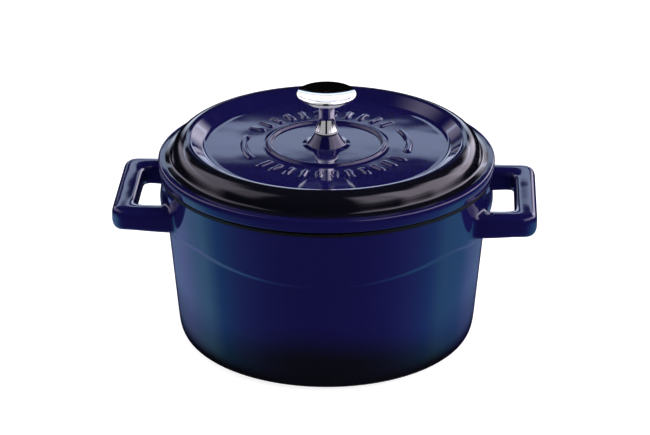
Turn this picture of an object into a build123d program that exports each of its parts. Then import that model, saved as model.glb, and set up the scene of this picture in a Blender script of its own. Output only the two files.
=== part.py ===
"""Round enamelled cast iron dutch oven with a lift-off lid and a polished steel knob.

Millimetres, +Z up. The origin is at the centre of the base, on the surface that the
pot stands on. +X runs through one loop handle and -X through the other.
"""

import os
from math import hypot

from build123d import *

# Pot: tapered wall, flat base and flat rim
POT_HEIGHT = 112.0  # standing surface to the flat of the rim
WALL_R_BASE = 93.7  # outer radius of the plain wall, carried down to the base plane
WALL_R_RIM = 103.8  # outer radius of the plain wall at the rim
WALL = 3.6  # wall thickness, measured across
FLOOR = 4.4  # thickness of the pot's floor
BASE_CORNER_R = 12.0  # outside radius between base and wall
FLOOR_CORNER_R = 12.0  # inside radius between floor and wall
RIM_EDGE_R = 1.2  # rounding of the rim's two edges
FOOT_R_IN = 60.0  # the base is ground flat outside this radius
FOOT_RELIEF = 0.8  # depth of the shallow recess inside it

# Raised band round the top of the wall, with a lower edge that dips at front and back
BAND_PROUD = 0.85
BAND_Z_FRONT = 73.9  # lower edge at the front and back
BAND_Z_SIDE = 84.4  # lower edge under the handles
BAND_EDGE_R = 0.5

# Loop handles, cast with the wall
OVERALL_LENGTH = 265.4  # across both handles
HANDLE_WIDTH = 90.0  # across the two arms of one handle
HANDLE_BAR = 14.0  # width of the bar in plan
HANDLE_LOW = 84.7  # underside of the bar
HANDLE_HIGH = 98.6  # top of the bar
HANDLE_CORNER_R = 12.0  # outer corner in plan
HANDLE_EDGE_R = 4.0  # rounding of the bar's section
HOLE_CORNER_R = 8.0  # inner corner in plan
PAD_R = 105.7  # the wall is thickened to this radius between the arms
ROOT_R = 100.3  # how deep the handle is let into the wall
ROOT_FILLET_R = 1.0  # between the arms and the wall

# Lid: lip, ledge, riser, shoulder, crest and dished floor
SEAT_GAP = 0.3  # between the rim and the lid's seat
LID_R = 106.0
LIP_LOW = 113.1  # underside of the lip outside the seat
LIP_HIGH = 121.1  # ledge on top of the lip
LIP_EDGE_R = 1.1
RISER_R_OUT = 100.8  # the ledge ends here
RISER_R_IN = 97.0
RISER_HIGH = 125.2
CREST_R = 88.0
CREST_HIGH = 133.5
DISH_R_OUT = 85.6  # inner edge of the rounded crest
DISH_R_IN = 77.6  # outer edge of the flat floor
DISH_Z = 127.2
LID_WALL = 3.8
SEAT_R_OUT = 103.2  # the lid's seat on the rim
SKIRT_R_OUT = 98.4  # locating skirt inside the rim
SKIRT_THICK = 3.2
SKIRT_LOW = 107.6

# Raised work on the lid's floor
LID_TURN = 8.5  # the raised work is turned this far from the handles
RING_R = 37.9  # outer radius of the raised ring
RING_WIDTH = 3.2
RING_PROUD = 1.7
RING_EDGE_R = 1.3
RELIEF_PROUD = 1.2
RELIEF_CHAMFER = 0.5
ARC_R = 52.0
ARC_SPAN = 38.0
ARC_WIDTH = 3.4
BAR_R = 50.5
BAR_LENGTH = 11.0
BAR_WIDTH = 3.0
BAR_COUNT = 11
BAR_SPAN = 110.0

# Boss that the knob stands on
STEP_R = 14.4
STEP_HIGH = 127.9
BOSS_R_LOW = 12.2
BOSS_R_HIGH = 7.1
BOSS_HIGH = 135.5
SCREW_CLEARANCE_R = 3.3

# Knob
GASKET_R = 6.7
GASKET_THICK = 0.7
STEM_FOOT_R = 7.3
STEM_FOOT_Z = 138.2  # widest height of the bell-shaped foot
STEM_FOOT_EDGE_R = 1.2
STEM_WAIST_R = 4.9
STEM_WAIST_Z = 145.4  # the stem is straight above this height
HEAD_LOW = 157.4
HEAD_UNDER_R = 14.3
HEAD_R = 18.9
HEAD_RIM_Z = 161.9  # widest height of the head
HEAD_HIGH = 163.2
HEAD_LIP = 3.4  # from the widest point in to the crest of the rim
HEAD_DISH = 1.5  # depth of the hollow in the top
SPIGOT_R = 3.9
SPIGOT_LONG = 2.6

# Fixing: M6 screw with a plain and a split washer
SCREW_R = 3.0
THREAD_GAP = 0.05  # between the plain shank and the plain hole that stand for the thread
SCREW_LONG = 30.0
SCREW_TIP = 1.0
TAPPED_DEEP = 16.0  # depth of the hole in the stem
SCREW_HEAD_R = 5.8
SCREW_HEAD_THICK = 3.4
SCREW_HEAD_EDGE_R = 1.6
SLOT_WIDTH = 1.6
SLOT_DEEP = 1.6
WASHER_R = 6.0
WASHER_BORE_R = 3.2
WASHER_THICK = 1.6
LOCK_R = 5.4
LOCK_BORE_R = 3.1
LOCK_GAP = 1.2

# Worked out from the sizes above
TAPER = (WALL_R_RIM - WALL_R_BASE) / POT_HEIGHT
FIXING_Z = DISH_Z - LID_WALL  # flat under the boss, where the plain washer bears
LOCK_Z = FIXING_Z - WASHER_THICK
SCREW_HEAD_Z = LOCK_Z - WASHER_THICK
STEM_LOW = BOSS_HIGH + GASKET_THICK
SEAT_Z = POT_HEIGHT + SEAT_GAP
HEAD_UNDER_MIDDLE = ((HEAD_UNDER_R + HEAD_R) / 2 + 0.5, (HEAD_LOW + HEAD_RIM_Z) / 2 - 0.5)
DISH_RADIUS = ((HEAD_R - HEAD_LIP) ** 2 + HEAD_DISH**2) / (2 * HEAD_DISH)
SHOULDER_MIDDLE = ((CREST_R + RISER_R_IN) / 2 + 1.35, (CREST_HIGH + RISER_HIGH) / 2 + 1.45)
RISER_MIDDLE = ((RISER_R_IN + RISER_R_OUT) / 2 - 0.7, (RISER_HIGH + LIP_HIGH) / 2 - 0.6)


STANDING = (Align.CENTER, Align.CENTER, Align.MIN)


def wall_r(height, offset=0.0):
    """Radius of the tapered wall at a height, moved out or in by an offset."""
    return WALL_R_BASE + TAPER * height + offset


def reach(edge):
    """Distance from the pot's axis to the middle of an edge."""
    middle = edge @ 0.5
    return hypot(middle.X, middle.Y)


def is_root(edge):
    """True for the edges where the arms of the handles meet the wall."""
    middle = edge @ 0.5
    beside_wall = ROOT_R < reach(edge) < PAD_R - 0.1 and abs(middle.Y) > HANDLE_WIDTH / 2 - HANDLE_BAR - 0.1
    return beside_wall and HANDLE_LOW - 0.1 < middle.Z < HANDLE_HIGH + 0.1


def save(piece, name):
    """Label a finished piece and write it to its own STEP file."""
    piece.label = name
    export_step(piece, f"parts/{name}.step")


os.makedirs("parts", exist_ok=True)

# Raised band: a thin proud ring, kept only above an arc that dips at front and back
with BuildPart() as band:
    with BuildSketch(Plane.XZ):
        with BuildLine():
            Polyline(
                (wall_r(BAND_Z_FRONT, -WALL / 2), BAND_Z_FRONT - 1),
                (wall_r(BAND_Z_FRONT, BAND_PROUD), BAND_Z_FRONT - 1),
                (wall_r(POT_HEIGHT, BAND_PROUD), POT_HEIGHT),
                (wall_r(POT_HEIGHT, -WALL / 2), POT_HEIGHT),
                close=True,
            )
        make_face()
    revolve(axis=Axis.Z)
    with BuildSketch(Plane.XZ):
        with BuildLine():
            ThreePointArc((-LID_R, BAND_Z_SIDE), (0, BAND_Z_FRONT), (LID_R, BAND_Z_SIDE))
            Polyline((LID_R, BAND_Z_SIDE), (LID_R, SEAT_Z), (-LID_R, SEAT_Z), (-LID_R, BAND_Z_SIDE))
        make_face()
    extrude(amount=LID_R, both=True, mode=Mode.INTERSECT)

# Finger holes: the space inside both handles, up to the thickened wall
with BuildSketch() as finger_holes:
    RectangleRounded(
        OVERALL_LENGTH - 2 * HANDLE_BAR,
        HANDLE_WIDTH - 2 * HANDLE_BAR,
        HOLE_CORNER_R,
    )
    Circle(PAD_R, mode=Mode.SUBTRACT)

# Both handles: one rounded plate, hollowed by the finger holes and by the pot itself
with BuildPart() as handles:
    with BuildSketch(Plane.XY.offset(HANDLE_LOW)):
        RectangleRounded(OVERALL_LENGTH, HANDLE_WIDTH, HANDLE_CORNER_R)
        add(finger_holes.sketch, mode=Mode.SUBTRACT)
        Circle(ROOT_R, mode=Mode.SUBTRACT)
    extrude(amount=HANDLE_HIGH - HANDLE_LOW)
    flat_edges = edges().group_by(Axis.Z)[0] + edges().group_by(Axis.Z)[-1]
    fillet(flat_edges.filter_by(lambda edge: reach(edge) > ROOT_R + 1), HANDLE_EDGE_R)

# Pot: the turned body, then the band and the handles on it
with BuildPart() as pot:
    with BuildSketch(Plane.XZ):
        with BuildLine():
            Polyline(
                (0, FOOT_RELIEF),
                (FOOT_R_IN, FOOT_RELIEF),
                (FOOT_R_IN + FOOT_RELIEF, 0),
                (wall_r(0), 0),
                (wall_r(POT_HEIGHT), POT_HEIGHT),
                (wall_r(POT_HEIGHT, -WALL), POT_HEIGHT),
                (wall_r(FLOOR, -WALL), FLOOR),
                (0, FLOOR),
                close=True,
            )
        make_face()
        fillet(vertices().sort_by_distance((wall_r(0), 0))[0], BASE_CORNER_R)
        fillet(vertices().sort_by_distance((wall_r(FLOOR, -WALL), FLOOR))[0], FLOOR_CORNER_R)
        fillet(vertices().sort_by_distance((wall_r(POT_HEIGHT, -WALL), POT_HEIGHT))[0], RIM_EDGE_R)
    revolve(axis=Axis.Z)
    add(band.part)
    band_edges = edges().filter_by(GeomType.BSPLINE).sort_by(SortBy.LENGTH)[-2:]
    fillet(band_edges.sort_by(reach)[-1], BAND_EDGE_R)
    fillet(edges().filter_by(GeomType.CIRCLE).group_by(Axis.Z)[-1].sort_by(reach)[-1], RIM_EDGE_R)
    add(handles.part)
    fillet(edges().filter_by(is_root), ROOT_FILLET_R)
save(pot.part, "pot")

# Raised work on the lid's floor: two short arcs left and right, rows of bars front and back
with BuildPart() as relief:
    with BuildSketch(Plane.XY.offset(DISH_Z - RELIEF_PROUD).rotated((0, 0, LID_TURN))):
        for side in (0, 180):
            SlotArc(CenterArc((0, 0), ARC_R, side - ARC_SPAN / 2, ARC_SPAN), ARC_WIDTH)
        for side in (90, 270):
            with PolarLocations(BAR_R, BAR_COUNT, side - BAR_SPAN / 2, BAR_SPAN, endpoint=True):
                SlotOverall(BAR_LENGTH, BAR_WIDTH)
    extrude(amount=2 * RELIEF_PROUD)
    chamfer(edges().group_by(Axis.Z)[-1], RELIEF_CHAMFER)

# Lid: turned casting with its lip, seat, skirt and boss
with BuildPart() as lid:
    with BuildSketch(Plane.XZ):
        with BuildLine():
            Polyline(
                (SCREW_CLEARANCE_R, BOSS_HIGH),
                (BOSS_R_HIGH, BOSS_HIGH),
                (BOSS_R_LOW, STEP_HIGH),
                (STEP_R, STEP_HIGH),
                (STEP_R, DISH_Z),
                (DISH_R_IN, DISH_Z),
                (DISH_R_OUT, CREST_HIGH - 0.6),
                (CREST_R, CREST_HIGH),
            )
            ThreePointArc((CREST_R, CREST_HIGH), SHOULDER_MIDDLE, (RISER_R_IN, RISER_HIGH))
            ThreePointArc((RISER_R_IN, RISER_HIGH), RISER_MIDDLE, (RISER_R_OUT, LIP_HIGH))
            Polyline(
                (RISER_R_OUT, LIP_HIGH),
                (LID_R, LIP_HIGH),
                (LID_R, LIP_LOW),
                (SEAT_R_OUT, LIP_LOW),
                (SEAT_R_OUT, SEAT_Z),
                (SKIRT_R_OUT, SEAT_Z),
                (SKIRT_R_OUT, SKIRT_LOW),
                (SKIRT_R_OUT - SKIRT_THICK, SKIRT_LOW),
                (SKIRT_R_OUT - SKIRT_THICK, LIP_HIGH - LID_WALL / 2),
                (CREST_R, CREST_HIGH - LID_WALL),
                (DISH_R_OUT, CREST_HIGH - LID_WALL - 0.6),
                (DISH_R_IN, FIXING_Z),
                (SCREW_CLEARANCE_R, FIXING_Z),
                (SCREW_CLEARANCE_R, BOSS_HIGH),
            )
        make_face()
        for corner in ((LID_R, LIP_HIGH), (LID_R, LIP_LOW)):
            fillet(vertices().sort_by_distance(corner)[0], LIP_EDGE_R)
    revolve(axis=Axis.Z)
    with BuildSketch(Plane.XZ):
        with Locations((RING_R - RING_WIDTH / 2, DISH_Z)):
            RectangleRounded(RING_WIDTH, 2 * RING_PROUD, RING_EDGE_R)
    revolve(axis=Axis.Z)
    add(relief.part)
save(lid.part, "lid")

# Knob: gasket, stem and dished head
with BuildPart(Plane.XY.offset(BOSS_HIGH)) as knob_gasket:
    Cylinder(GASKET_R, GASKET_THICK, align=STANDING)
    Hole(SCREW_CLEARANCE_R)
save(knob_gasket.part, "knob_gasket")

with BuildPart() as knob_stem:
    with BuildSketch(Plane.XZ):
        with BuildLine():
            Line((0, STEM_LOW), (STEM_FOOT_R, STEM_LOW))
            Line((STEM_FOOT_R, STEM_LOW), (STEM_FOOT_R, STEM_FOOT_Z))
            Spline(
                (STEM_FOOT_R, STEM_FOOT_Z),
                (STEM_WAIST_R, STEM_WAIST_Z),
                tangents=((0, 1), (0, 1)),
            )
            Polyline(
                (STEM_WAIST_R, STEM_WAIST_Z),
                (STEM_WAIST_R, HEAD_LOW),
                (SPIGOT_R, HEAD_LOW),
                (SPIGOT_R, HEAD_LOW + SPIGOT_LONG),
                (0, HEAD_LOW + SPIGOT_LONG),
                (0, STEM_LOW),
            )
        make_face()
        fillet(vertices().sort_by_distance((STEM_FOOT_R, STEM_LOW))[0], STEM_FOOT_EDGE_R)
    revolve(axis=Axis.Z)
    with Locations((0, 0, STEM_LOW)):
        Cylinder(SCREW_R + THREAD_GAP, TAPPED_DEEP, align=STANDING, mode=Mode.SUBTRACT)
save(knob_stem.part, "knob_stem")

with BuildPart() as knob_head:
    with BuildSketch(Plane.XZ):
        with BuildLine():
            Polyline(
                (0, HEAD_HIGH - HEAD_DISH),
                (0, HEAD_LOW + SPIGOT_LONG),
                (SPIGOT_R, HEAD_LOW + SPIGOT_LONG),
                (SPIGOT_R, HEAD_LOW),
                (HEAD_UNDER_R, HEAD_LOW),
            )
            ThreePointArc((HEAD_UNDER_R, HEAD_LOW), HEAD_UNDER_MIDDLE, (HEAD_R, HEAD_RIM_Z))
            TangentArc((HEAD_R - HEAD_LIP, HEAD_HIGH), (HEAD_R, HEAD_RIM_Z), tangent=(1, 0))
            RadiusArc((HEAD_R - HEAD_LIP, HEAD_HIGH), (0, HEAD_HIGH - HEAD_DISH), DISH_RADIUS)
        make_face()
    revolve(axis=Axis.Z)
save(knob_head.part, "knob_head")

# Fixing under the lid: plain washer, split washer and screw
with BuildPart(Plane.XY.offset(LOCK_Z)) as screw_washer:
    Cylinder(WASHER_R, WASHER_THICK, align=STANDING)
    Hole(WASHER_BORE_R)
save(screw_washer.part, "screw_washer")

with BuildPart(Plane.XY.offset(SCREW_HEAD_Z)) as lock_washer:
    Cylinder(LOCK_R, WASHER_THICK, align=STANDING)
    Hole(LOCK_BORE_R)
    with Locations((LOCK_R, 0, 0)):
        Box(LOCK_R * 2, LOCK_GAP, WASHER_THICK, align=STANDING, mode=Mode.SUBTRACT)
save(lock_washer.part, "lock_washer")

with BuildPart() as knob_screw:
    with BuildSketch(Plane.XZ):
        with BuildLine():
            Polyline(
                (0, SCREW_HEAD_Z - SCREW_HEAD_THICK),
                (SCREW_HEAD_R, SCREW_HEAD_Z - SCREW_HEAD_THICK),
                (SCREW_HEAD_R, SCREW_HEAD_Z),
                (SCREW_R, SCREW_HEAD_Z),
                (SCREW_R, SCREW_HEAD_Z + SCREW_LONG - SCREW_TIP),
                (SCREW_R - SCREW_TIP, SCREW_HEAD_Z + SCREW_LONG),
                (0, SCREW_HEAD_Z + SCREW_LONG),
                close=True,
            )
        make_face()
        fillet(
            vertices().sort_by_distance((SCREW_HEAD_R, SCREW_HEAD_Z - SCREW_HEAD_THICK))[0],
            SCREW_HEAD_EDGE_R,
        )
    revolve(axis=Axis.Z)
    with Locations((0, 0, SCREW_HEAD_Z - SCREW_HEAD_THICK)):
        Box(SLOT_WIDTH, 2 * SCREW_HEAD_R, SLOT_DEEP, align=STANDING, mode=Mode.SUBTRACT)
save(knob_screw.part, "knob_screw")
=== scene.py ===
"""Finished looks of a round enamelled cast iron dutch oven, built round its CAD frame.

The two castings and the two knob pieces are modelled here and stand for their CAD nodes.
The gasket, the screw and its washers keep their CAD shape and get a finish.
Metres, +Z up, +X through one loop handle.
"""

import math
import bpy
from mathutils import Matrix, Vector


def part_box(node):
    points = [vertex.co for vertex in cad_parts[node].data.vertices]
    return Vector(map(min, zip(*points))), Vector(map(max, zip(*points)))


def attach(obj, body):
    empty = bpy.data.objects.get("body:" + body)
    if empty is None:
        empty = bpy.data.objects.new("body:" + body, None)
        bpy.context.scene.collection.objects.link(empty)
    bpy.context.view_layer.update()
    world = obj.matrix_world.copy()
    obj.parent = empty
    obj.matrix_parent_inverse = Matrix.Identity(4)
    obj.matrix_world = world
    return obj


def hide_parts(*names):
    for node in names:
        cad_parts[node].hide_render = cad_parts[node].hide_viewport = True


bl_info = {
    "name": "Dutch oven looks",
    "version": (1, 0, 0),
    "blender": (4, 5, 0),
    "location": "3D View > Sidebar > Dutch Oven",
    "description": "Builds the enamelled castings, the polished knob and the studio",
    "category": "Object",
}

from collections import namedtuple

import bmesh
import bpy
import numpy as np
from bpy.props import FloatProperty, FloatVectorProperty, IntProperty, PointerProperty
from mathutils import Vector

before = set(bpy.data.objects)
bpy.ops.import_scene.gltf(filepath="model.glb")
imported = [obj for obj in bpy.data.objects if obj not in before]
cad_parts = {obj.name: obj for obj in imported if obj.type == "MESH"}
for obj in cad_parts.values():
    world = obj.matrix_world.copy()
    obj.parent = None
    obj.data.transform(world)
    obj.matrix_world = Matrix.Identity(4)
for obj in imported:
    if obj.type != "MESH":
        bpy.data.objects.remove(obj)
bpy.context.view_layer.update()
POT_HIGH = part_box("pot")[1]
LID_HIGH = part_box("lid")[1]
STEM_LOW, STEM_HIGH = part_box("knob_stem")
HEAD_LOW, HEAD_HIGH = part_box("knob_head")

MM = 0.001
MERGE = 1e-6
FULL_TURN = 2 * math.pi


# ---------------------------------------------------------------- sizes and colours


class PotSizes(bpy.types.PropertyGroup):
    """Sizes of the pot's casting."""

    wall_base: FloatProperty(
        name="Wall at base",
        description="Outer radius of the tapered wall, carried down to the standing surface",
        default=93.7 * MM,
        unit="LENGTH",
    )
    wall_rim: FloatProperty(
        name="Wall at rim",
        description="Outer radius of the plain wall at the rim",
        default=103.8 * MM,
        unit="LENGTH",
    )
    wall: FloatProperty(
        name="Wall thickness", description="Thickness of the wall", default=3.6 * MM, unit="LENGTH"
    )
    floor: FloatProperty(
        name="Floor thickness", description="Thickness of the floor", default=4.4 * MM, unit="LENGTH"
    )
    band_proud: FloatProperty(
        name="Band depth",
        description="How far the upper band stands out from the wall",
        default=0.85 * MM,
        unit="LENGTH",
    )
    band_front: FloatProperty(
        name="Band at front",
        description="Height of the band's lower edge at the front and back",
        default=73.9 * MM,
        unit="LENGTH",
    )
    band_top: FloatProperty(
        name="Band at its highest",
        description="Height of the band's lower edge just before it reaches a handle",
        default=82.4 * MM,
        unit="LENGTH",
    )
    band_side: FloatProperty(
        name="Band at sides",
        description="Height of the band's lower edge under the handles",
        default=78.6 * MM,
        unit="LENGTH",
    )
    handle_low: FloatProperty(
        name="Handle underside",
        description="Height of the bar's underside",
        default=84.7 * MM,
        unit="LENGTH",
    )
    handle_high: FloatProperty(
        name="Handle top", description="Height of the bar's top", default=98.6 * MM, unit="LENGTH"
    )
    root_low: FloatProperty(
        name="Root underside",
        description="The arms deepen to this height at the wall",
        default=82.7 * MM,
        unit="LENGTH",
    )
    bar: FloatProperty(
        name="Bar width", description="Width of the handle's bar in plan", default=14 * MM, unit="LENGTH"
    )
    pad: FloatProperty(
        name="Pad radius",
        description="The wall is thickened to this radius between the arms",
        default=105.8 * MM,
        unit="LENGTH",
    )


class LidSizes(bpy.types.PropertyGroup):
    """Sizes of the lid's casting."""

    crest: FloatProperty(
        name="Crest radius", description="Radius of the shoulder's crest", default=88 * MM, unit="LENGTH"
    )
    dish: FloatProperty(
        name="Dish radius",
        description="Radius of the floor of the lid",
        default=77.4 * MM,
        unit="LENGTH",
    )
    dome: FloatProperty(
        name="Floor crown",
        description="How much the floor rises from its edge to its middle",
        default=0.9 * MM,
        unit="LENGTH",
    )
    ring: FloatProperty(
        name="Ring radius",
        description="Outer radius of the raised ring",
        default=37.9 * MM,
        unit="LENGTH",
    )
    turn: FloatProperty(
        name="Relief turn",
        description="How far the raised work is turned from the handles",
        default=math.radians(8.5),
        unit="ROTATION",
    )
    relief: FloatProperty(
        name="Relief height",
        description="Height of the raised arcs and bars",
        default=1.2 * MM,
        unit="LENGTH",
    )
    bars: IntProperty(
        name="Bars in a row", description="Number of raised bars in front, and again at the back", default=11
    )


class Finishes(bpy.types.PropertyGroup):
    """Colours of the finishes."""

    enamel: FloatVectorProperty(
        name="Enamel",
        description="Colour of the outside enamel",
        subtype="COLOR",
        default=(0.0068, 0.0058, 0.0535),
    )
    enamel_deep: FloatVectorProperty(
        name="Deep enamel",
        description="Colour of the outside enamel where it lies a little thicker",
        subtype="COLOR",
        default=(0.0054, 0.0049, 0.0435),
    )
    # On the pot this colour is partly the enamel's own shading and partly painted shade and a painted dark
    # reflection towards the base; over the lid's shoulder it is the enamel's own shading
    enamel_dark: FloatVectorProperty(
        name="Shaded enamel",
        description="Colour that the enamel is shaded to over the shoulder and towards the base",
        subtype="COLOR",
        default=(0.0035, 0.0036, 0.0065),
    )
    # Paler colour over sharp edges: partly thinner enamel, partly a painted highlight along edges such as
    # the band's step
    enamel_thin_and_painted_highlight: FloatVectorProperty(
        name="Thin enamel",
        description="Colour of the enamel where it is thin over an edge",
        subtype="COLOR",
        default=(0.030, 0.036, 0.150),
    )
    inside: FloatVectorProperty(
        name="Inside enamel",
        description="Colour of the matt cooking surface",
        subtype="COLOR",
        default=(0.004, 0.004, 0.0045),
    )
    specks: FloatVectorProperty(
        name="Inside specks",
        description="Colour of the paler specks in the cooking surface",
        subtype="COLOR",
        default=(0.010, 0.010, 0.0105),
    )
    steel: FloatVectorProperty(
        name="Polished steel",
        description="Colour of the polished knob",
        subtype="COLOR",
        default=(0.83, 0.83, 0.85),
    )


class StageSettings(bpy.types.PropertyGroup):
    """Camera and light."""

    azimuth: FloatProperty(
        name="Azimuth", description="Camera's turn towards +X", default=math.radians(2.7), unit="ROTATION"
    )
    elevation: FloatProperty(
        name="Elevation", description="Camera's height angle", default=math.radians(23.65), unit="ROTATION"
    )
    distance: FloatProperty(
        name="Distance", description="Camera to aim point", default=1.8, unit="LENGTH"
    )
    aim_height: FloatProperty(
        name="Aim height", description="Height of the aim point", default=77.3 * MM, unit="LENGTH"
    )
    aside: FloatProperty(
        name="Aside",
        description="The aim point lies this far left of the axis",
        default=0.95 * MM,
        unit="LENGTH",
    )
    lens: FloatProperty(name="Lens", description="Focal length in millimetres", default=156.7)


# ---------------------------------------------------------------- modelling helpers


def leave_edit_mode():
    """Go back to object mode where a tool has left edit mode on."""
    if bpy.context.mode != "OBJECT":
        bpy.ops.object.mode_set(mode="OBJECT")


def only(piece):
    """Select one piece alone and make it active."""
    leave_edit_mode()
    bpy.ops.object.select_all(action="DESELECT")
    piece.select_set(True)
    bpy.context.view_layer.objects.active = piece


def rounded(corners, steps):
    """Outline through (radius, height, fillet) corners, with an arc at each corner that has a fillet."""
    outline = []
    for i, (r, z, fillet) in enumerate(corners):
        corner = Vector((r, z))
        if not fillet:
            outline.append(corner)
            continue
        before = (Vector(corners[i - 1][:2]) - corner).normalized()
        after = (Vector(corners[(i + 1) % len(corners)][:2]) - corner).normalized()
        half = before.angle(after) / 2
        centre = corner + (before + after).normalized() * fillet / math.sin(half)
        first = corner + before * fillet / math.tan(half) - centre
        sweep = first.angle_signed(corner + after * fillet / math.tan(half) - centre)
        for k in range(steps + 1):
            angle = -sweep * k / steps
            spoke = Vector(
                (
                    first.x * math.cos(angle) - first.y * math.sin(angle),
                    first.x * math.sin(angle) + first.y * math.cos(angle),
                )
            )
            outline.append(centre + spoke)
    return outline


def turned(name, outline, steps, angle=FULL_TURN, closed=False):
    """A new piece: the outline of (radius, height) points spun about the upright axis."""
    leave_edit_mode()
    bpy.ops.object.select_all(action="DESELECT")
    r, z = outline[0][:2]
    bpy.ops.mesh.primitive_plane_add(size=MM, location=(0, 0, 0))
    piece = bpy.context.object
    piece.name = piece.data.name = name
    bpy.ops.object.mode_set(mode="EDIT")
    bpy.ops.mesh.select_all(action="SELECT")
    bpy.ops.mesh.merge(type="CENTER")
    bpy.ops.transform.translate(value=(r, 0, z))
    points = list(outline[1:])
    if closed:
        points.append(outline[0])
    for point in points:
        bpy.ops.mesh.extrude_region_move(
            TRANSFORM_OT_translate={"value": (point[0] - r, 0, point[1] - z)}
        )
        r, z = point[:2]
    bpy.ops.mesh.select_all(action="SELECT")
    bpy.ops.mesh.remove_doubles(threshold=MERGE)
    bpy.ops.mesh.spin(steps=steps, angle=angle, center=(0, 0, 0), axis=(0, 0, 1))
    bpy.ops.mesh.select_all(action="SELECT")
    bpy.ops.mesh.remove_doubles(threshold=MERGE)
    bpy.ops.mesh.normals_make_consistent(inside=False)
    bpy.ops.object.mode_set(mode="OBJECT")
    return piece


def apply(piece, kind, **settings):
    """Add one modifier with these settings and apply it."""
    only(piece)
    modifier = piece.modifiers.new(kind.title(), kind)
    for key, value in settings.items():
        setattr(modifier, key, value)
    bpy.ops.object.modifier_apply(modifier=modifier.name)


def smooth(piece, angle=35):
    """Smooth shading, with edges sharper than the angle kept crisp."""
    only(piece)
    bpy.ops.object.shade_smooth_by_angle(angle=math.radians(angle))


def places(piece):
    """The piece's vertices as an array of rows x, y, z."""
    co = np.zeros(len(piece.data.vertices) * 3)
    piece.data.vertices.foreach_get("co", co)
    return co.reshape(-1, 3)


def put(piece, co):
    """Set the piece's vertices from an array of rows x, y, z."""
    piece.data.vertices.foreach_set("co", co.ravel())
    piece.data.update()


def finish_piece(piece, node, body, slot, *materials):
    """Give a new piece its materials, hang it under its body's empty, and hide the CAD node that it stands
    for.
    """
    piece.data.materials.clear()
    for material in materials:
        piece.data.materials.append(material)
    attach(piece, body)
    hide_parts(node)


# ---------------------------------------------------------------- pot

QUARTER_COLUMNS = 21
ARM_COLUMNS = (4, 5, 6)  # columns of the cage where an arm leaves the wall
COLUMN = math.pi / 2 / QUARTER_COLUMNS


def wall_r(sizes, z):
    """Outer radius of the tapered wall at a height."""
    return sizes.wall_base + (sizes.wall_rim - sizes.wall_base) * z / POT_HIGH.z


def pot_cage_outline(sizes):
    """Control outline of the turned pot, from the middle of the base round the rim to the floor's middle."""
    rim = POT_HIGH.z
    mid = (sizes.handle_low + sizes.handle_high) / 2

    def outer(z, proud=0.0):
        return (wall_r(sizes, z) + proud, z)

    def inner(z):
        return (wall_r(sizes, z) - sizes.wall, z)

    relieved = 0.8
    base = [(r, relieved) for r in (0, 30, 56, 59.6)] + [(r, 0) for r in (61, 63, 72, 80.5)]
    corner = [(86.9, 0.5), (91.7, 3.1), (94.1, 7.6)]
    outline = [(r * MM, z * MM) for r, z in base + corner]
    outline += [outer(z * MM) for z in (13, 24, 35, 47, 58, 66.5, 71.5, 75, 76.2)]
    outline += [outer(z * MM, sizes.band_proud) for z in (77.8, 79, 81.5)]
    outline += [outer(z, sizes.band_proud) for z in (sizes.handle_low, mid, sizes.handle_high)]
    outline += [outer(rim - z * MM, sizes.band_proud) for z in (8, 3.5, 1.1, 0)]
    rim_outside, rim_inside = 0.4 * MM, 1.2 * MM  # how far the rim's edges are rounded in
    outline += [(outer(rim)[0] - rim_outside, rim), (inner(rim)[0] + rim_inside, rim)]
    outline += [inner(rim - z * MM) for z in (0, 1.1, 4, 12, 24, 36, 48, 60, 72, 84)]
    floor = sizes.floor
    outline += [inner(floor + z * MM) for z in (17, 12)]
    outline += [(r * MM, floor + z * MM) for r, z in ((90.7, 6.2), (87.2, 1.9), (82, 0.2))]
    outline += [(r * MM, floor) for r in (76, 60, 40, 20, 0)]
    return outline


def follow_wave(piece, sizes):
    """Slide the rows of the outer wall up and down, so that the band's edge dips at front and back."""
    climb = 1.5  # the edge rises by this times the square of its distance from the middle plane
    settle_from, settle_over = 8.5, 3  # columns where the edge comes down to its height at the sides
    still = 60 * MM  # rows lower than this stay where they are
    under, over = 1.4 * MM, 2.8 * MM  # the wave's two rows, measured from the band's edge
    root_lift = 4.2 * MM
    co = places(piece)
    r = np.hypot(co[:, 0], co[:, 1])
    z = co[:, 2]
    column = np.arctan2(co[:, 1], co[:, 0]) / COLUMN
    edge = np.minimum(sizes.band_front + climb * co[:, 0] ** 2, sizes.band_top)
    near = np.clip((settle_from - column) / settle_over, 0, 1)
    near = near * near * (3 - 2 * near)
    edge = edge + (sizes.band_side - edge) * near
    high = sizes.handle_low
    flat_low, flat_high = 75 * MM, 79 * MM  # the cage's band edge lies between these two heights
    below, above = edge - under, edge + over
    top = np.where(near > 0.9, sizes.root_low, sizes.root_low + root_lift * (1 - near))
    moved = np.select(
        [z <= still, z <= flat_low, z <= flat_high, z <= high + MERGE],
        [
            z,
            still + (z - still) * (below - still) / (flat_low - still),
            below + (z - flat_low) * (above - below) / (flat_high - flat_low),
            above + (z - flat_high) * (top - above) / (high - flat_high),
        ],
        z,
    )
    outside = r > wall_r(sizes, z) - sizes.wall / 2
    new_r = np.where(outside, r + wall_r(sizes, moved) - wall_r(sizes, z), r)
    scale = np.divide(new_r, r, out=np.ones_like(r), where=r > MERGE)
    co[:, 0] *= scale
    co[:, 1] *= scale
    co[:, 2] = np.where(outside, moved, z)
    put(piece, co)


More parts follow.
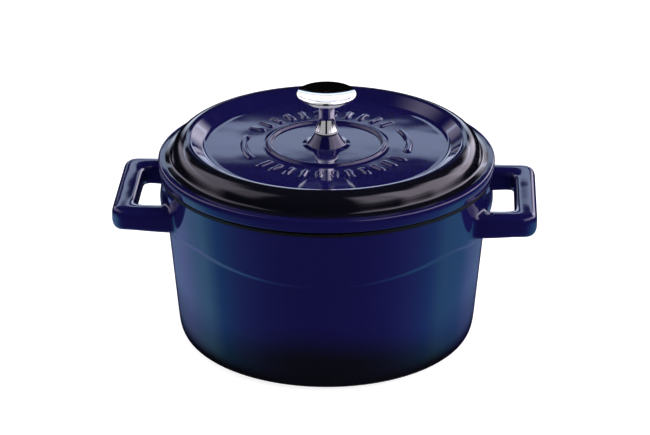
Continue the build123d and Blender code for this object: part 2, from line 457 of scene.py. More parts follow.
def grow_handle(piece, sizes):
    """Raise the pad and pull half of a loop handle out of the quarter cage's wall."""
    low, high = sizes.handle_low, sizes.handle_high
    mid = (low + high) / 2
    reach = POT_HIGH.x
    outer_y = 45 * MM
    inner_y = outer_y - sizes.bar
    bar_in = reach - sizes.bar
    arm_y = (inner_y, (inner_y + outer_y) / 2, outer_y)
    pad_edge = 0.5 * MM  # the pad's top row lies this much inside its radius
    first_step, first_lift = 4.5 * MM, 0.4 * MM
    arm_start = 110 * MM
    arm_sag = 0.9 * MM  # the arms' underside lies this much below the bar's
    bar_rows = (23 * MM, 12 * MM, 0)
    corner_out, corner_in = 3.5 * MM, 1.0 * MM
    near = MM / 10
    only(piece)
    bpy.ops.object.mode_set(mode="EDIT")
    bm = bmesh.from_edit_mesh(piece.data)

    def outside(c):
        return math.hypot(c.x, c.y) > wall_r(sizes, c.z) - sizes.wall / 2

    def column(c):
        return math.atan2(c.y, c.x) / COLUMN

    for v in bm.verts:
        if not outside(v.co) or column(v.co) >= ARM_COLUMNS[0] + 0.5:
            continue
        if abs(v.co.z - mid) < MM:
            scale = sizes.pad / math.hypot(v.co.x, v.co.y)
        elif abs(v.co.z - high) < MM:
            scale = (sizes.pad - pad_edge) / math.hypot(v.co.x, v.co.y)
        else:
            continue
        v.co.x *= scale
        v.co.y *= scale

    def pick(test):
        """Select only the faces whose centre passes the test."""
        bpy.ops.mesh.select_all(action="DESELECT")
        bm.faces.ensure_lookup_table()
        for f in bm.faces:
            f.select_set(test(f.calc_center_median()))
        bmesh.update_edit_mesh(piece.data)

    def grow():
        """Extrude the picked faces and return the new end's vertices."""
        bpy.ops.mesh.extrude_region_move(TRANSFORM_OT_translate={"value": (0, 0, 0)})
        bmesh.update_edit_mesh(piece.data)
        return [v for v in bm.verts if v.select]

    def at_root(c):
        beside = ARM_COLUMNS[0] < column(c) < ARM_COLUMNS[2]
        return beside and sizes.root_low < c.z < high and outside(c)

    pick(at_root)
    # First ring: a little off the wall, so that the root gets its cast fillet
    for v in grow():
        k = min(range(3), key=lambda n: abs(ARM_COLUMNS[n] - column(v.co)))
        v.co.x += first_step
        v.co.y = arm_y[k]
        if v.co.z < mid - MM:
            v.co.z += first_lift
    for x in (arm_start, bar_in, (bar_in + reach) / 2, reach):
        for v in grow():
            v.co.x = x
            v.co.y = min(arm_y, key=lambda y: abs(y - v.co.y))
            if v.co.z < mid - MM:
                v.co.z = low - (arm_sag if x < bar_in else 0)
    bmesh.update_edit_mesh(piece.data)
    # The bar: pull the inner side of the corner block across to the middle plane
    pick(lambda c: abs(c.y - inner_y) < near and bar_in < c.x < reach and low < c.z < high)
    for y in bar_rows:
        for v in grow():
            v.co.y = y
    bpy.ops.mesh.delete(type="ONLY_FACE")
    bm = bmesh.from_edit_mesh(piece.data)
    # The loop's corners are rounded in plan, more outside than inside
    for v in bm.verts:
        for corner_x, corner_y, cut in ((reach, outer_y, corner_out), (bar_in, inner_y, corner_in)):
            if abs(v.co.x - corner_x) < near and abs(v.co.y - corner_y) < near:
                v.co.x -= cut
                v.co.y -= cut
    bmesh.update_edit_mesh(piece.data)
    bpy.ops.object.mode_set(mode="OBJECT")


def paint_inside(piece, test):
    """Give the faces that the test picks the second material."""
    for face in piece.data.polygons:
        face.material_index = int(test(face.center, face.normal))


class OBJECT_OT_pot_casting(bpy.types.Operator):
    """Build the pot with its wavy band and its two loop handles"""

    bl_idname = "object.dutch_oven_pot"
    bl_label = "Pot casting"

    def execute(self, context):
        sizes = context.scene.dutch_oven_pot
        pot = turned("pot_casting", pot_cage_outline(sizes), QUARTER_COLUMNS, math.pi / 2)
        co = places(pot)
        co[:, 1] = np.abs(co[:, 1])
        put(pot, co)
        follow_wave(pot, sizes)
        grow_handle(pot, sizes)
        apply(pot, "MIRROR", use_axis=(True, True, False), merge_threshold=MM / 100)
        only(pot)
        bpy.ops.object.mode_set(mode="EDIT")
        bpy.ops.mesh.select_all(action="SELECT")
        bpy.ops.mesh.normals_make_consistent(inside=False)
        bpy.ops.object.mode_set(mode="OBJECT")
        apply(pot, "SUBSURF", levels=2, render_levels=2)
        smooth(pot, 60)
        rim = POT_HIGH.z - 2.4 * MM
        into_wall = 0.55 * sizes.wall

        def inside(centre, normal):
            """The cooking surface and the rim that the lid sits on."""
            r = math.hypot(centre.x, centre.y)
            within = r < wall_r(sizes, centre.z) - into_wall
            return (within and centre.z > sizes.floor / 2) or centre.z > rim

        finish_piece(pot, "pot", "pot", "pot_enamel", material("pot_glaze"), material("black_enamel"))
        paint_inside(pot, inside)
        return {"FINISHED"}


# ---------------------------------------------------------------- lid

LID_COLUMNS = 480
# Height of the lip's underside, and radius inside the skirt, in millimetres
LIP_UNDER = 113.1
SKIRT_INSIDE = 95.2


def lid_outline(sizes):
    """Closed outline of the lid, from the top of the boss outwards, round the lip and back under."""
    dish_z = 127.2
    bead_rise = 1.75
    clearance_r = 3.3
    underside = 123.4
    seat, skirt_low, skirt_r = 112.3, 107.6, 98.4

    def floor_z(r):
        return dish_z + sizes.dome / MM * (1 - (r * MM / sizes.dish) ** 2)

    ring = sizes.ring / MM
    dish = sizes.dish / MM
    crest = sizes.crest / MM
    boss_top = LID_HIGH.z / MM
    lip_r = LID_HIGH.x / MM
    boss = [(clearance_r, boss_top, 0), (7.1, boss_top, 0.5), (9.4, 132.2, 2.5), (12.0, 128.4, 1.2)]
    step = [(14.0, 128.2, 0.9), (15.2, floor_z(15), 0.7)]
    inner_floor = [(r, floor_z(r), 0) for r in range(17, 34, 2)]
    bead = [
        (ring - 3.5, floor_z(35), 0.8),
        (ring - 2.7, floor_z(35) + bead_rise, 0.8),
        (ring - 0.7, floor_z(35) + bead_rise, 0.8),
        (ring + 0.1, floor_z(38), 0.8),
    ]
    # Close rings of points where the raised work is, for its soft edges
    relief_floor = [(r, floor_z(r), 0) for r in np.arange(41, 62, 0.6)]
    outer_floor = [(r, floor_z(r), 0) for r in np.arange(63, dish - 4, 2)]
    rise = [(dish, floor_z(dish), 4.5), (crest - 2.6, 133.3, 2.4), (crest, 133.5, 1.5)]
    # The shoulder is an arc from the crest down to its foot
    round_r, round_z, bulge = 86.8, 123.2, 10.3
    top, sweep, steps = 83, 71, 12
    shoulder = []
    for k in range(1, steps):
        a = math.radians(top - sweep * k / steps)
        shoulder.append((round_r + bulge * math.cos(a), round_z + bulge * math.sin(a), 0))
    foot = [(97.0, 125.3, 0.8), (98.0, 122.2, 2.2), (101.6, 121.0, 0.9)]
    lip = [(lip_r, 121.1, 1.3), (lip_r, LIP_UNDER, 1.0), (103.2, LIP_UNDER, 0.3), (103.2, seat, 0.2)]
    skirt = [(skirt_r, seat, 0.6), (skirt_r, skirt_low, 1.0), (SKIRT_INSIDE, skirt_low, 1.0)]
    under = [
        (SKIRT_INSIDE, 119.2, 3.0),
        (88.0, 129.6, 3.0),
        (85.6, 129.0, 2.0),
        (77.6, underside, 4.0),
        (clearance_r, underside, 0),
    ]
    corners = boss + step + inner_floor + bead + relief_floor + outer_floor + rise
    corners += shoulder + foot + lip + skirt + under
    return [(x * MM, z * MM) for x, z in rounded(corners, 4)]


def raise_relief(piece, sizes):
    """Lift the raised arcs and bars out of the lid's floor with soft cast edges."""
    arc_r, arc_half, arc_width = 52 * MM, math.radians(19), 3.4 * MM
    bar_r, bar_long, bar_width, row_half = 50.5 * MM, 11 * MM, 3.0 * MM, math.radians(55)
    field_in, field_out, field_low = 41 * MM, 61.5 * MM, 126 * MM
    softness = 1.1 * MM
    co = places(piece)
    r = np.hypot(co[:, 0], co[:, 1])
    angle = np.arctan2(co[:, 1], co[:, 0]) - sizes.turn
    on_floor = (r > field_in) & (r < field_out) & (co[:, 2] > field_low)

    def wrapped(a):
        return (a + math.pi) % FULL_TURN - math.pi

    # Left and right: one short arc each
    beside = np.abs(wrapped(np.where(np.cos(angle) > 0, angle, angle - math.pi)))
    past = np.maximum(beside - arc_half, 0) * arc_r
    arc_gap = np.hypot(r - arc_r, past) - arc_width / 2
    # Front and back: a row of radial bars each
    spacing = 2 * row_half / (sizes.bars - 1)
    across = wrapped(np.where(np.sin(angle) > 0, angle - math.pi / 2, angle + math.pi / 2))
    nearest = np.clip(np.round((across + row_half) / spacing), 0, sizes.bars - 1) * spacing - row_half
    off = across - nearest
    along = np.maximum(np.abs(r * np.cos(off) - bar_r) - (bar_long - bar_width) / 2, 0)
    bar_gap = np.hypot(along, r * np.sin(off)) - bar_width / 2
    t = np.clip(0.5 - np.minimum(arc_gap, bar_gap) / softness, 0, 1)
    co[:, 2] += np.where(on_floor, sizes.relief * t * t * (3 - 2 * t), 0)
    put(piece, co)


class OBJECT_OT_lid_casting(bpy.types.Operator):
    """Build the lid with its lip, shoulder, dished floor, raised work and boss"""

    bl_idname = "object.dutch_oven_lid"
    bl_label = "Lid casting"

    def execute(self, context):
        sizes = context.scene.dutch_oven_lid
        lid = turned("lid_casting", lid_outline(sizes), LID_COLUMNS, closed=True)
        raise_relief(lid, sizes)
        smooth(lid, 40)
        slack = 0.1 * MM
        # Highest that the underside reaches, under the shoulder and under the floor
        shoulder_from, under_shoulder, under_floor = 80 * MM, 132 * MM, 125.5 * MM

        def underside(centre, normal):
            """The lip's underside, the skirt and the hollow inside it."""
            r = math.hypot(centre.x, centre.y)
            if centre.z < LIP_UNDER * MM + 2 * slack:
                return True
            if r > SKIRT_INSIDE * MM + slack:
                return False
            top = under_shoulder if r > shoulder_from else under_floor
            return normal.z < 0 and centre.z < top

        finish_piece(lid, "lid", "lid", "lid_enamel", material("lid_glaze"), material("black_enamel"))
        paint_inside(lid, underside)
        return {"FINISHED"}


# ---------------------------------------------------------------- knob

KNOB_COLUMNS = 160
POLISHED = "polished_knob"
# Radii of the tapped hole in the stem, and of the spigot that joins stem and head, in millimetres
TAPPED_R = 3.05
SPIGOT_R = 3.9


class OBJECT_OT_knob(bpy.types.Operator):
    """Build the polished head and stem of the knob"""

    bl_idname = "object.dutch_oven_knob"
    bl_label = "Knob"

    def execute(self, context):
        self.polished = bpy.data.collections.new(POLISHED)
        context.scene.collection.children.link(self.polished)
        self.build_head()
        self.build_stem()
        return {"FINISHED"}

    def build_head(self):
        low, high, radius = HEAD_LOW.z / MM, HEAD_HIGH.z / MM, HEAD_HIGH.x / MM
        # A shallow spherical dish in the top
        dish = 2.0
        crest = radius - 1.2
        ball = (crest**2 + dish**2) / (2 * dish)
        hollow = []
        for k in range(13):
            r = crest * k / 12
            hollow.append((r, high - dish + ball - math.sqrt(ball**2 - r**2), 0))
        # The rim turns down from the crest in part of an ellipse
        rim_z, rim_wide, rim_tall = 161.0, 2.4, 2.2
        lean_from, lean_over = 28, 50
        rim = []
        for k in range(7):
            lean = math.radians(lean_from + lean_over * k / 6)
            rim.append((radius - rim_wide * (1 - math.sin(lean)), rim_z + rim_tall * math.cos(lean), 0))
        underside = [(radius, 160.8, 0.6), (14.3, low, 0.5)]
        socket_top = low + 2.6
        socket = [(SPIGOT_R, low, 0), (SPIGOT_R, socket_top, 0), (0, socket_top, 0)]
        head = self.turn_up("knob_cap", hollow + rim + underside + socket)
        finish_piece(head, "knob_head", "lid", "knob_polish", material("polished_steel"))

    def build_stem(self):
        low, high = STEM_LOW.z / MM, STEM_HIGH.z / MM
        head_low = HEAD_LOW.z / MM
        bell_top, bell_low, waist, foot = 147.0, 137.4, 4.9, STEM_HIGH.x / MM
        flare = 1.7
        outline = [(0, high, 0), (SPIGOT_R, high, 0), (SPIGOT_R, head_low, 0), (waist, head_low, 0)]
        for k in range(17):
            t = k / 16
            outline.append((waist + (foot - waist) * t**flare, bell_top + (bell_low - bell_top) * t, 0))
        hole_top = low + 16
        outline += [(foot, low, 0.8), (TAPPED_R, low, 0), (TAPPED_R, hole_top, 0), (0, hole_top, 0)]
        stem = self.turn_up("knob_post", outline)
        finish_piece(stem, "knob_stem", "lid", "knob_polish", material("polished_steel"))

    def turn_up(self, name, corners):
        """Turn a piece from its corners and put it among those that the knob's own lights reach."""
        outline = [(x * MM, z * MM) for x, z in rounded(corners, 8)]
        piece = turned(name, outline, KNOB_COLUMNS)
        smooth(piece, 40)
        self.polished.objects.link(piece)
        return piece


# ---------------------------------------------------------------- fixings

CAD_FINISHES = {
    "knob_gasket": "rubber",
    "knob_screw": "brushed_steel",
    "screw_washer": "brushed_steel",
    "lock_washer": "brushed_steel",
}


class OBJECT_OT_fixings(bpy.types.Operator):
    """Give the gasket, the screw and its washers their finishes"""

    bl_idname = "object.dutch_oven_fixings"
    bl_label = "Fixings"

    def execute(self, context):
        for node, finish in CAD_FINISHES.items():
            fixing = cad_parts[node]
            if not fixing.material_slots:
                fixing.data.materials.append(None)
            for holder in fixing.material_slots:
                holder.link = "OBJECT"
                holder.material = material(finish)
        return {"FINISHED"}


# ---------------------------------------------------------------- materials


def new_material(name):
    """An empty node material with its Principled shader."""
    made = bpy.data.materials.new(name)
    made.use_nodes = True
    return made, made.node_tree, made.node_tree.nodes["Principled BSDF"]


def add(tree, kind, **values):
    """A node with these values on its sockets, or on itself where it has no such socket."""
    node = tree.nodes.new("ShaderNode" + kind)
    for key, value in values.items():
        label = key.replace("_", " ").title()
        if label in node.inputs:
            node.inputs[label].default_value = value
        else:
            setattr(node, key, value)
    return node


def ramp(tree, value, low, high):
    """Soft step from 0 to 1 as the value goes from low to high."""
    node = add(tree, "MapRange", interpolation_type="SMOOTHSTEP", from_min=low, from_max=high)
    tree.links.new(value, node.inputs["Value"])
    return node.outputs["Result"]


def maths(tree, operation, *values):
    """A maths node; numbers set its inputs and sockets are linked."""
    node = add(tree, "Math", operation=operation)
    for socket, value in zip(node.inputs, values):
        if isinstance(value, bpy.types.NodeSocket):
            tree.links.new(value, socket)
        else:
            socket.default_value = value
    return node.outputs[0]


def blend(tree, factor, first, second):
    """Colour mixed from first to second by the factor."""
    node = add(tree, "Mix", data_type="RGBA")
    tree.links.new(factor, node.inputs["Factor"])
    for socket, value in ((node.inputs["A"], first), (node.inputs["B"], second)):
        if isinstance(value, bpy.types.NodeSocket):
            tree.links.new(value, socket)
        else:
            socket.default_value = (*value, 1)
    return node.outputs["Result"]


def texture(tree, where, kind, output="Fac", **values):
    """One output of a texture laid over these coordinates."""
    node = add(tree, kind, **values)
    tree.links.new(where, node.inputs["Vector"])
    return node.outputs[output]


def spread(tree, value, low, high):
    """A value from 0 to 1 spread over low to high."""
    node = add(tree, "MapRange", to_min=low, to_max=high)
    tree.links.new(value, node.inputs["Value"])
    return node.outputs["Result"]


def bumped(tree, height, strength, distance, under=None):
    """Normal of a surface bumped by the height, over another bump if there is one."""
    node = add(tree, "Bump", strength=strength, distance=distance)
    tree.links.new(height, node.inputs["Height"])
    if under:
        tree.links.new(under, node.inputs["Normal"])
    return node.outputs["Normal"]


def dress(tree, shader, **sources):
    """Link these sources to the shader's sockets of the same names."""
    for key, source in sources.items():
        tree.links.new(source, shader.inputs[key.replace("_", " ").title()])


def glaze(name, shading):
    """Glossy blue enamel that darkens where the shading says so."""
    made, tree, shader = new_material(name)
    colours = bpy.context.scene.dutch_oven_finishes
    shader.inputs["IOR"].default_value = 1.5
    where = add(tree, "TexCoord").outputs["Object"]
    cloud = texture(tree, where, "TexNoise", scale=22, detail=3, roughness=0.5)
    sprayed = blend(tree, cloud, colours.enamel, colours.enamel_deep)
    # Paler over sharp edges, found by pointiness: thinner enamel there, and a painted highlight along the
    # edges
    thin_and_highlight = ramp(tree, add(tree, "NewGeometry").outputs["Pointiness"], 0.52, 0.6)
    colour = blend(tree, maths(tree, "MULTIPLY", thin_and_highlight, 0.5), sprayed, colours.enamel_thin_and_painted_highlight)
    wander = texture(tree, where, "TexNoise", scale=14, detail=2)
    sway = 6 * MM
    drift = maths(tree, "MULTIPLY_ADD", wander, sway, -sway / 2)
    peel = texture(tree, where, "TexNoise", scale=240, detail=2, roughness=0.45)
    swell = texture(tree, where, "TexNoise", scale=32, detail=1, roughness=0.4)
    dress(
        tree,
        shader,
        base_color=blend(tree, shading(tree, where, drift), colour, colours.enamel_dark),
        roughness=spread(tree, cloud, 0.03, 0.07),
        normal=bumped(tree, swell, 0.3, 0.0007, under=bumped(tree, peel, 0.03, 0.0001)),
    )
    return made


def pot_glaze():
    """The pot's enamel, darkened to near black towards the base, higher up at the front and back: partly the
    enamel's own shading, partly painted shade and a painted dark reflection.
    """
    climb = 2.6
    dark_to, plain_from = -2 * MM, 24 * MM

    def shading(tree, where, drift):
        split = add(tree, "SeparateXYZ")
        tree.links.new(where, split.inputs[0])
        # Painted dark reflection: the darkening reaches higher at the front and back, along Y
        painted_reflection_rise = maths(tree, "MULTIPLY", maths(tree, "POWER", split.outputs["Y"], 2), climb)
        height = maths(tree, "SUBTRACT", maths(tree, "ADD", split.outputs["Z"], drift), painted_reflection_rise)
        return maths(tree, "SUBTRACT", 1, ramp(tree, height, dark_to, plain_from))

    return glaze("pot_glaze", shading)


def lid_glaze():
    """The lid's enamel, shaded to near black over the shoulder."""
    inner_edge = (84 * MM, 90 * MM)
    outer_edge = (100.5 * MM, 104.5 * MM)

    def shading(tree, where, drift):
        flat = add(tree, "VectorMath", operation="MULTIPLY")
        tree.links.new(where, flat.inputs[0])
        flat.inputs[1].default_value = (1, 1, 0)
        length = add(tree, "VectorMath", operation="LENGTH")
        tree.links.new(flat.outputs[0], length.inputs[0])
        radius = maths(tree, "ADD", length.outputs["Value"], drift)
        inner = ramp(tree, radius, *inner_edge)
        outer = maths(tree, "SUBTRACT", 1, ramp(tree, radius, *outer_edge))
        return maths(tree, "MULTIPLY", inner, outer)

    return glaze("lid_glaze", shading)


def black_enamel():
    """Matt black enamel with pits and specks, for the inside, the rim and the underside of the lid."""
    made, tree, shader = new_material("black_enamel")
    colours = bpy.context.scene.dutch_oven_finishes
    shader.inputs["Specular IOR Level"].default_value = 0.22
    where = add(tree, "TexCoord").outputs["Object"]
    grain = texture(tree, where, "TexNoise", scale=900, detail=3, roughness=0.6)
    pits = texture(tree, where, "TexVoronoi", output="Distance", scale=1400)
    specks = add(tree, "MapRange", from_min=0.62, from_max=0.72)
    tree.links.new(grain, specks.inputs["Value"])
    dress(
        tree,
        shader,
        base_color=blend(tree, specks.outputs["Result"], colours.inside, colours.specks),
        roughness=spread(tree, grain, 0.42, 0.62),
        normal=bumped(tree, pits, 0.35, 0.00012),
    )
    return made


def polished_steel():
    """Mirror-polished steel with a faint haze."""
    made, tree, shader = new_material("polished_steel")
    colours = bpy.context.scene.dutch_oven_finishes
    shader.inputs["Metallic"].default_value = 1
    shader.inputs["Base Color"].default_value = (*colours.steel, 1)
    where = add(tree, "TexCoord").outputs["Object"]
    haze = texture(tree, where, "TexNoise", scale=120, detail=4, roughness=0.6)
    dress(tree, shader, roughness=spread(tree, haze, 0.03, 0.08))
    return made


def brushed_steel():
    """Zinc-plated steel with fine turned lines and dull patches."""
    made, tree, shader = new_material("brushed_steel")
    shader.inputs["Metallic"].default_value = 1
    where = add(tree, "TexCoord").outputs["Object"]
    patches = texture(tree, where, "TexNoise", scale=260, detail=3)
    lines = texture(
        tree, where, "TexWave", wave_type="RINGS", rings_direction="Z", scale=700, distortion=1.5
    )
    dress(
        tree,
        shader,
        base_color=blend(tree, patches, (0.52, 0.52, 0.54), (0.70, 0.70, 0.72)),
        roughness=spread(tree, patches, 0.22, 0.38),
        normal=bumped(tree, lines, 0.2, 0.00005),
    )
    return made


def rubber():
    """Black silicone rubber with a fine dusty grain."""
    made, tree, shader = new_material("rubber")
    where = add(tree, "TexCoord").outputs["Object"]
    grain = texture(tree, where, "TexNoise", scale=1500, detail=3)
    dress(
        tree,
        shader,
        base_color=blend(tree, grain, (0.008, 0.008, 0.009), (0.022, 0.022, 0.024)),
        roughness=spread(tree, grain, 0.5, 0.75),
        normal=bumped(tree, grain, 0.25, 0.00004),
    )
    return made


MAKERS = {
    "pot_glaze": pot_glaze,
    "lid_glaze": lid_glaze,
    "black_enamel": black_enamel,
    "polished_steel": polished_steel,
    "brushed_steel": brushed_steel,
    "rubber": rubber,
}


def material(name):
    """The finish of that name, made the first time it is asked for."""
    return bpy.data.materials.get(name) or MAKERS[name]()


# ---------------------------------------------------------------- stage


def panel(name, place, aim, size, power, glossy=True, diffuse=True):
    """A soft light panel that faces its aim point."""
    light = bpy.data.lights.new(name, "AREA")
    light.shape = "RECTANGLE"
    light.size, light.size_y = size
    light.energy = power
    lamp = bpy.data.objects.new(name, light)
    bpy.context.scene.collection.objects.link(lamp)
    lamp.location = place
    lamp.rotation_euler = (Vector(aim) - Vector(place)).to_track_quat("-Z", "Y").to_euler()
    lamp.visible_glossy = glossy
    lamp.visible_diffuse = diffuse
    lamp.visible_camera = False
    return lamp


SoftBox = namedtuple("SoftBox", "left right low high side_blur blur colour")

# Degrees: azimuth 0 is straight behind the object, positive to its right; height above level
SOFT_BOXES = (
    SoftBox(-75, 75, 20.7, 23.1, 12, 0.4, (1.05, 1.28, 1.75)),
    SoftBox(-15, 15, 5, 15.5, 6, 2, (2.0, 2.25, 2.9)),
    SoftBox(19, 47, 7, 26, 6, 4, (3.1, 2.9, 3.5)),
    SoftBox(46, 66, 4, 34, 6, 5, (2.9, 2.6, 3.1)),
    SoftBox(64, 97, 4, 50, 6, 8, (3.0, 2.65, 3.2)),
    SoftBox(97, 122, 12, 64, 6, 9, (3.0, 2.65, 3.2)),
    SoftBox(122, 152, 22, 68, 9, 10, (2.0, 1.8, 2.2)),
    SoftBox(-47, -24, 9, 26, 5, 4, (1.2, 1.1, 1.4)),
    SoftBox(-97, -46, 6, 54, 8, 9, (1.5, 1.35, 1.65)),
    SoftBox(-124, -95, 20, 62, 8, 9, (1.0, 0.9, 1.1)),
)

ROOM_LIGHT = 0.002

# Light below level that the upright wall mirrors, from straight before the object round its left,
# its back and its right: dark before and behind, bright beside. Its span is low, high and blur.
LOW_RING_LIGHT = 3
LOW_RING_SPAN = (-100, -21, 3)
LOW_RING = (
    (-180, (0.002, 0.002, 0.004)),
    (-150, (0.005, 0.008, 0.020)),
    (-130, (0.014, 0.026, 0.090)),
    (-112, (0.026, 0.066, 0.180)),
    (-93, (0.022, 0.140, 0.310)),
    (-78, (0.105, 0.290, 0.440)),
    (-50, (0.135, 0.185, 0.370)),
    (-30, (0.075, 0.115, 0.205)),
    (-21, (0.055, 0.080, 0.150)),
    (-14, (0.004, 0.005, 0.012)),
    (14, (0.004, 0.005, 0.012)),
    (21, (0.050, 0.075, 0.140)),
    (30, (0.065, 0.105, 0.185)),
    (48, (0.075, 0.135, 0.270)),
    (60, (0.036, 0.140, 0.250)),
    (82, (0.050, 0.210, 0.310)),
    (96, (0.017, 0.110, 0.250)),
    (112, (0.022, 0.060, 0.160)),
    (130, (0.010, 0.020, 0.070)),
    (150, (0.004, 0.006, 0.016)),
    (180, (0.002, 0.002, 0.004)),
)


def window(tree, value, low, high, blur):
    """1 where the angle lies between low and high degrees, with soft edges."""
    low, high, blur = math.radians(low), math.radians(high), math.radians(blur)
    rise = ramp(tree, value, low - blur, low + blur)
    fall = ramp(tree, value, high - blur, high + blur)
    return maths(tree, "SUBTRACT", rise, fall)


def lit(tree, total, amount, colour):
    """The total light with this much of the colour added."""
    share = add(tree, "VectorMath", operation="SCALE")
    tree.links.new(amount, share.inputs["Scale"])
    if isinstance(colour, bpy.types.NodeSocket):
        tree.links.new(colour, share.inputs[0])
    else:
        share.inputs[0].default_value = colour
    both = add(tree, "VectorMath", operation="ADD")
    tree.links.new(total, both.inputs[0])
    tree.links.new(share.outputs[0], both.inputs[1])
    return both.outputs[0]


class OBJECT_OT_stage(bpy.types.Operator):
    """Add the floor, the lights and the camera"""

    bl_idname = "object.dutch_oven_stage"
    bl_label = "Stage"

    def execute(self, context):
        settings = context.scene.dutch_oven_stage
        scene = context.scene
        scene.view_settings.view_transform = "Standard"
        self.add_camera(scene, settings)
        floor = self.add_floor()
        shade = self.add_floor_shade()
        self.add_surroundings(scene, settings)
        panel("top_light", (0, 0, 2.2), (0, 0, 0), (2.6, 2.6), 38, glossy=False)
        self.add_knob_lights()
        return {"FINISHED"}

    def add_camera(self, scene, settings):
        camera = bpy.data.cameras.new("camera")
        camera.lens = settings.lens
        eye = bpy.data.objects.new("camera", camera)
        scene.collection.objects.link(eye)
        a, e = settings.azimuth, settings.elevation
        right = Vector((math.cos(a), math.sin(a), 0))
        back = Vector((math.sin(a) * math.cos(e), -math.cos(a) * math.cos(e), math.sin(e)))
        aim = Vector((0, 0, settings.aim_height)) - right * settings.aside
        eye.location = aim + back * settings.distance
        eye.rotation_euler = (-back).to_track_quat("-Z", "Y").to_euler()
        scene.camera = eye

    def add_floor(self):
        """A pale floor, a little lit from within, that polished faces don't mirror."""
        leave_edit_mode()
        bpy.ops.object.select_all(action="DESELECT")
        bpy.ops.mesh.primitive_plane_add(size=12, location=(0, 0, 0))
        floor = bpy.context.object
        floor.name = "studio_floor"
        floor.visible_glossy = False
        made, _, shader = new_material("pale_floor")
        shader.inputs["Base Color"].default_value = (0.45, 0.45, 0.45, 1)
        shader.inputs["Emission Color"].default_value = (1, 1, 1, 1)
        shader.inputs["Emission Strength"].default_value = 0.88
        shader.inputs["Roughness"].default_value = 0.9
        shader.inputs["Specular IOR Level"].default_value = 0
        floor.data.materials.append(made)
        return floor

    def add_floor_shade(self):
        """A black disc that only mirrors see, so that the wall's reflection darkens near the base."""
        radius = 160 * MM
        bpy.ops.mesh.primitive_circle_add(
            vertices=96, radius=radius, fill_type="NGON", location=(0, 0, MM / 2)
        )
        shade = bpy.context.object
        shade.name = "floor_shade"
        shade.visible_camera = shade.visible_diffuse = shade.visible_shadow = False
        made, tree, shader = new_material("floor_shade")
        shader.inputs["Base Color"].default_value = (0, 0, 0, 1)
        shader.inputs["Specular IOR Level"].default_value = 0
        length = add(tree, "VectorMath", operation="LENGTH")
        tree.links.new(add(tree, "TexCoord").outputs["Object"], length.inputs[0])
        # Clears outwards in two steps, a quick one by the base and a slow one
        near = ramp(tree, length.outputs["Value"], 96 * MM, 114 * MM)
        far = ramp(tree, length.outputs["Value"], 108 * MM, 155 * MM)
        clear = maths(tree, "MULTIPLY", maths(tree, "ADD", near, far), 0.5)
        dress(tree, shader, alpha=maths(tree, "SUBTRACT", 1, clear))
        shade.data.materials.append(made)
        return shade

    def add_surroundings(self, scene, settings):
        """A dark room with soft boxes, painted by azimuth and height angle round the object."""
        world = bpy.data.worlds.new("studio")
        scene.world = world
        world.use_nodes = True
        world.cycles.sampling_method = "NONE"
        tree = world.node_tree
        split = add(tree, "SeparateXYZ")
        tree.links.new(add(tree, "TexCoord").outputs["Generated"], split.inputs[0])
        turn = maths(tree, "ARCTAN2", split.outputs["X"], split.outputs["Y"])
        azimuth = maths(tree, "ADD", turn, settings.azimuth)
        height = maths(tree, "ARCSINE", split.outputs["Z"])
        room = add(tree, "CombineXYZ")
        for socket in room.inputs:
            socket.default_value = ROOM_LIGHT
        total = room.outputs[0]
        for box in SOFT_BOXES:
            beside = window(tree, azimuth, box.left, box.right, box.side_blur)
            level = window(tree, height, box.low, box.high, box.blur)
            total = lit(tree, total, maths(tree, "MULTIPLY", beside, level), box.colour)
        ring = add(tree, "ValToRGB")
        around = maths(tree, "MULTIPLY_ADD", azimuth, 1 / FULL_TURN, 0.5)
        tree.links.new(around, ring.inputs["Fac"])
        stops = ring.color_ramp.elements
        while len(stops) < len(LOW_RING):
            stops.new(0.5)
        for stop, (angle, colour) in zip(stops, LOW_RING):
            stop.position = 0.5 + angle / 360
            stop.color = (*colour, 1)
        below = maths(tree, "MULTIPLY", window(tree, height, *LOW_RING_SPAN), LOW_RING_LIGHT)
        total = lit(tree, total, below, ring.outputs["Color"])
        tree.links.new(total, tree.nodes["Background"].inputs["Color"])

    def add_knob_lights(self):
        """White panels that only the polished knob sees, parted in front of it by a dark gap."""
        knob = Vector((0, 0, 155 * MM))
        near, far = 0.5, 0.9
        front_rise, back_rise = 0.26, 0.135
        for side in (-1, 1):
            turn = math.radians(42 * side)
            front = knob + near * Vector((math.sin(turn), -math.cos(turn), front_rise))
            back = knob + far * Vector((math.sin(turn), math.cos(turn), back_rise))
            self.light_knob(f"front_panel_{side}", front, knob, (0.62, 0.46), 0.42)
            self.light_knob(f"back_panel_{side}", back, knob, (0.98, 0.46), 1.0)
        self.light_knob("back_panel", knob + Vector((0, far, back_rise)), knob, (0.5, 0.42), 0.9)
        self.light_knob("over_panel", knob + Vector((0, -0.12, 0.6)), knob, (1.4, 0.9), 1.0)
        under = Vector((0, -2 * MM, 134 * MM))
        self.light_knob("under_panel", under, knob, (36 * MM, 48 * MM), 0.40)

    def light_knob(self, name, place, aim, size, brightness):
        """One panel for the knob alone; its power grows with its area, so its brightness stays."""
        power = brightness * math.pi * size[0] * size[1]
        lamp = panel(name, place, aim, size, power, diffuse=False)
        lamp.light_linking.receiver_collection = bpy.data.collections[POLISHED]


class VIEW3D_PT_dutch_oven(bpy.types.Panel):
    """Lists the builders of the dutch oven"""

    bl_label = "Dutch Oven"
    bl_idname = "VIEW3D_PT_dutch_oven"
    bl_space_type = "VIEW_3D"
    bl_region_type = "UI"
    bl_category = "Dutch Oven"

    def draw(self, context):
        for operator in OPERATORS:
            self.layout.operator(operator.bl_idname)


OPERATORS = (
    OBJECT_OT_pot_casting,
    OBJECT_OT_lid_casting,
    OBJECT_OT_knob,
    OBJECT_OT_fixings,
    OBJECT_OT_stage,
)
GROUPS = {
    "dutch_oven_pot": PotSizes,
    "dutch_oven_lid": LidSizes,
    "dutch_oven_finishes": Finishes,
    "dutch_oven_stage": StageSettings,
}


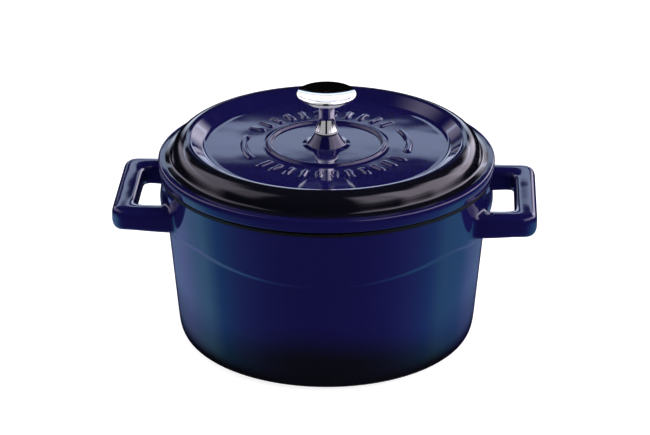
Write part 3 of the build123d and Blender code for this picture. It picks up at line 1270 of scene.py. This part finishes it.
def register():
    for cls in (*GROUPS.values(), *OPERATORS, VIEW3D_PT_dutch_oven):
        bpy.utils.register_class(cls)
    for name, group in GROUPS.items():
        setattr(bpy.types.Scene, name, PointerProperty(type=group))


def unregister():
    for name in GROUPS:
        delattr(bpy.types.Scene, name)
    for cls in reversed((*GROUPS.values(), *OPERATORS, VIEW3D_PT_dutch_oven)):
        bpy.utils.unregister_class(cls)


def main():
    register()
    bpy.ops.object.dutch_oven_pot()
    bpy.ops.object.dutch_oven_lid()
    bpy.ops.object.dutch_oven_knob()
    bpy.ops.object.dutch_oven_fixings()
    bpy.ops.object.dutch_oven_stage()


if __name__ == "__main__":
    main()
